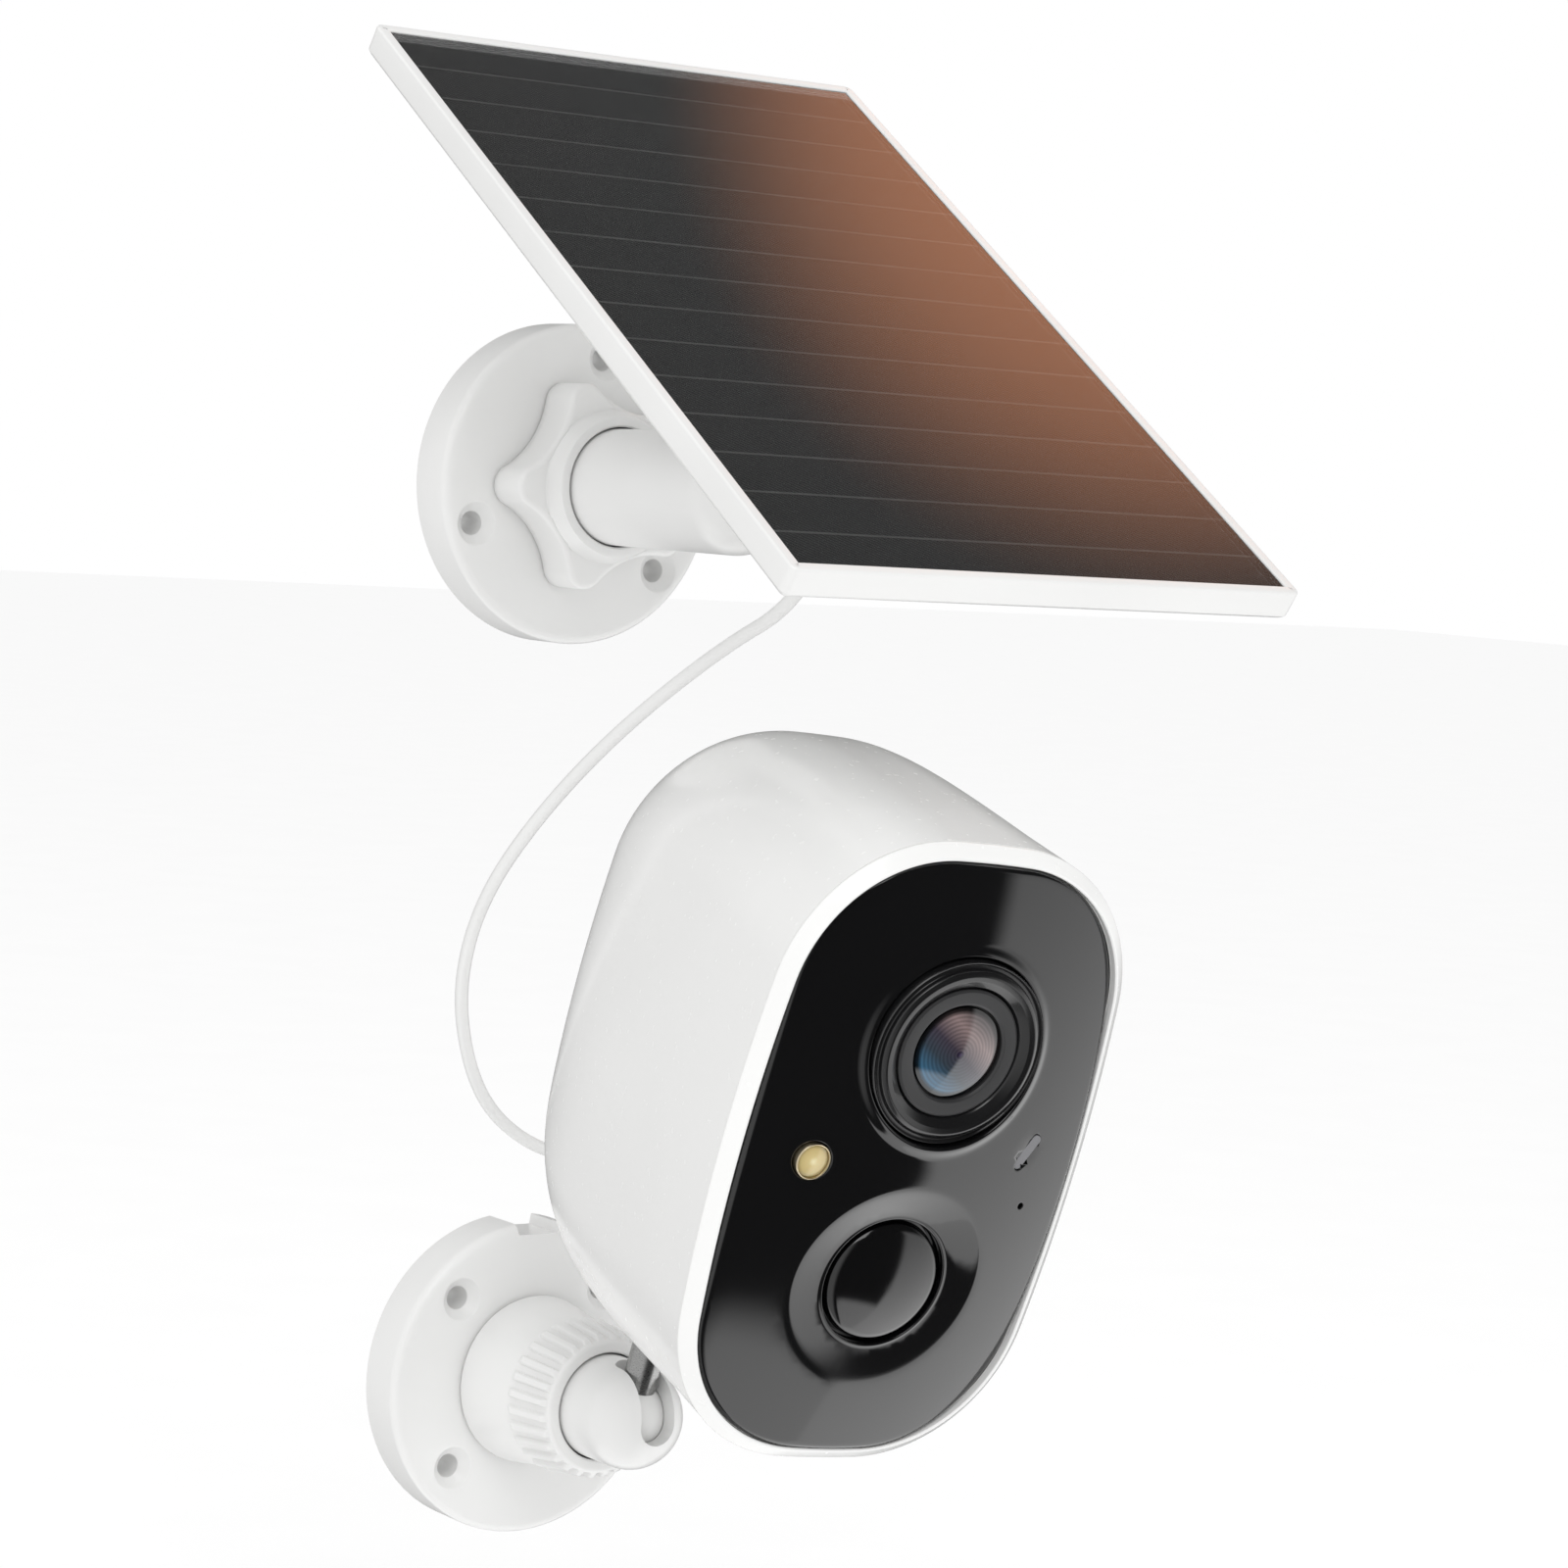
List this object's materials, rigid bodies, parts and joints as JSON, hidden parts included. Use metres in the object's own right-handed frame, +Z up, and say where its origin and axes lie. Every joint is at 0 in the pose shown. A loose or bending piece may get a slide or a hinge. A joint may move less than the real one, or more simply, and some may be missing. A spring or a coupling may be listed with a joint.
{
  "type": "solar-powered security camera",
  "caption": "Outdoor battery camera on a ball-joint wall bracket, with a solar panel on its own wall arm and the cable that links them.",
  "frame": {"origin": "centre of the camera bracket's screw circle, on its back face against the wall", "axes": "+Z up the wall, -Y straight out of the wall, +X along the wall to the right as seen from in front"},
  "size_m": [0.0988, 0.1413, 0.2608],
  "materials": {
    "black_gloss": "polished",
    "black_internal": "moulded",
    "black_lens_ring": "polished",
    "brass_insert": "knurled",
    "cell_can": "shrink-wrapped",
    "circuit_board": "solder mask",
    "clear_light": "translucent",
    "cover_glass": "clear, low iron",
    "lens_glass": "coated",
    "seal_rubber": "soft",
    "sensor_dome": "polished, infrared-clear",
    "solar_cells": "dark monocrystalline laminate",
    "spotlight_amber": "clear over phosphor",
    "steel": "machined",
    "white_abs": "moulded, satin gloss",
    "white_bracket": "moulded, satin gloss",
    "white_rubber": "moulded, matte"
  },
  "bodies": {
    "wall_mounts": {"camera_bracket_base": "white_bracket", "camera_friction_washer": "black_internal", "panel_bracket_base": "white_bracket", "panel_friction_washer": "black_internal", "solar_cable": "white_rubber"},
    "camera_knob": {"camera_clamp_knob": "white_bracket"},
    "camera_head": {"camera_head": "white_bracket", "camera_ball_seat": "black_internal"},
    "camera_stem": {"camera_ball_stem": "steel"},
    "camera_lock": {"camera_lock_ring": "white_bracket"},
    "camera": {"front_plate": "black_gloss", "front_bezel": "white_abs", "rear_shell": "white_abs", "shell_gasket": "seal_rubber", "lens_bezel_ring": "black_lens_ring", "lens_retaining_ring": "black_lens_ring", "front_lens_element": "lens_glass", "lens_barrel": "black_internal", "rear_lens_element": "lens_glass", "image_sensor": "black_internal", "sensor_board": "circuit_board", "motion_sensor_lens": "sensor_dome", "motion_sensor": "steel", "spotlight_ring": "steel", "spotlight_lens": "spotlight_amber", "spotlight_led": "black_internal", "status_light_pipe": "clear_light", "microphone": "steel", "main_board": "circuit_board", "board_screws": "steel", "case_screws": "steel", "battery_cells": "cell_can", "battery_holder": "black_internal", "speaker": "black_internal", "antenna": "steel", "camera_stem_insert": "brass_insert", "charging_port": "steel", "button_switch": "black_internal", "charging_board": "circuit_board"},
    "power_button": {"power_button": "white_abs"},
    "plug": {"plug_boot": "white_rubber", "plug_shell": "steel"},
    "panel_knob": {"panel_star_knob": "white_bracket"},
    "panel_arm": {"panel_arm": "white_bracket", "panel_ball_seat": "black_internal"},
    "panel_stem": {"panel_ball_stem": "steel"},
    "panel_lock": {"panel_lock_ring": "white_bracket"},
    "panel": {"panel_frame": "white_bracket", "panel_cell_laminate": "solar_cells", "panel_cover_glass": "cover_glass", "panel_back_box": "white_bracket", "panel_box_screws": "steel", "panel_stem_insert": "brass_insert", "panel_diode_board": "circuit_board", "cable_gland": "white_rubber"}
  },
  "joints": [
    {"name": "camera_knob_turn", "type": "hinge", "parent": "wall_mounts", "child": "camera_knob", "pos_m": [0, 0, 0], "axis": [0, -1, 0], "range_deg": [-180, 180]},
    {"name": "camera_head_swivel", "type": "hinge", "parent": "wall_mounts", "child": "camera_head", "pos_m": [0, -0.0414, 0], "axis": [0, 1, 0], "range_deg": [-60, 60], "deforming": ["solar_cable"]},
    {"name": "camera_tilt", "type": "hinge", "parent": "camera_head", "child": "camera_stem", "pos_m": [0, -0.0414, 0], "axis": [0.9982, 0, -0.0602], "range_deg": [-15, 60], "deforming": ["solar_cable"]},
    {"name": "camera_lock_turn", "type": "hinge", "parent": "camera_stem", "child": "camera_lock", "pos_m": [0, -0.0414, 0], "axis": [0.0581, -0.263, 0.963], "range_deg": [-180, 180]},
    {"name": "camera_pan", "type": "hinge", "parent": "camera_stem", "child": "camera", "pos_m": [0, -0.0414, 0], "axis": [0.0581, -0.263, 0.963], "range_deg": [-60, 60], "deforming": ["solar_cable"]},
    {"name": "power_button_press", "type": "slide", "parent": "camera", "child": "power_button", "axis": [-0.047, -0.9444, 0.3256], "range_m": [0, 0.0006], "stiffness_N_per_m": 600, "springref_m": -0.0008},
    {"name": "plug_pull", "type": "slide", "parent": "camera", "child": "plug", "axis": [0.047, 0.9444, -0.3256], "range_m": [0, 0.008], "deforming": ["solar_cable"]},
    {"name": "panel_knob_turn", "type": "hinge", "parent": "wall_mounts", "child": "panel_knob", "pos_m": [0, 0, 0.1585], "axis": [0, -1, 0], "range_deg": [-180, 180]},
    {"name": "panel_arm_swivel", "type": "hinge", "parent": "wall_mounts", "child": "panel_arm", "pos_m": [0, -0.0564, 0.1585], "axis": [0, 1, 0], "range_deg": [-40, 40], "deforming": ["solar_cable"]},
    {"name": "panel_tilt", "type": "hinge", "parent": "panel_arm", "child": "panel_stem", "pos_m": [0, -0.0564, 0.1585], "axis": [1, 0, 0], "range_deg": [-33, 16], "deforming": ["solar_cable"]},
    {"name": "panel_lock_turn", "type": "hinge", "parent": "panel_stem", "child": "panel_lock", "pos_m": [0, -0.0564, 0.1585], "axis": [0, -0.5519, 0.8339], "range_deg": [-180, 180]},
    {"name": "panel_spin", "type": "hinge", "parent": "panel_stem", "child": "panel", "pos_m": [0, -0.0564, 0.1585], "axis": [0, -0.5519, 0.8339], "range_deg": [-45, 45], "deforming": ["solar_cable"]}
  ]
}
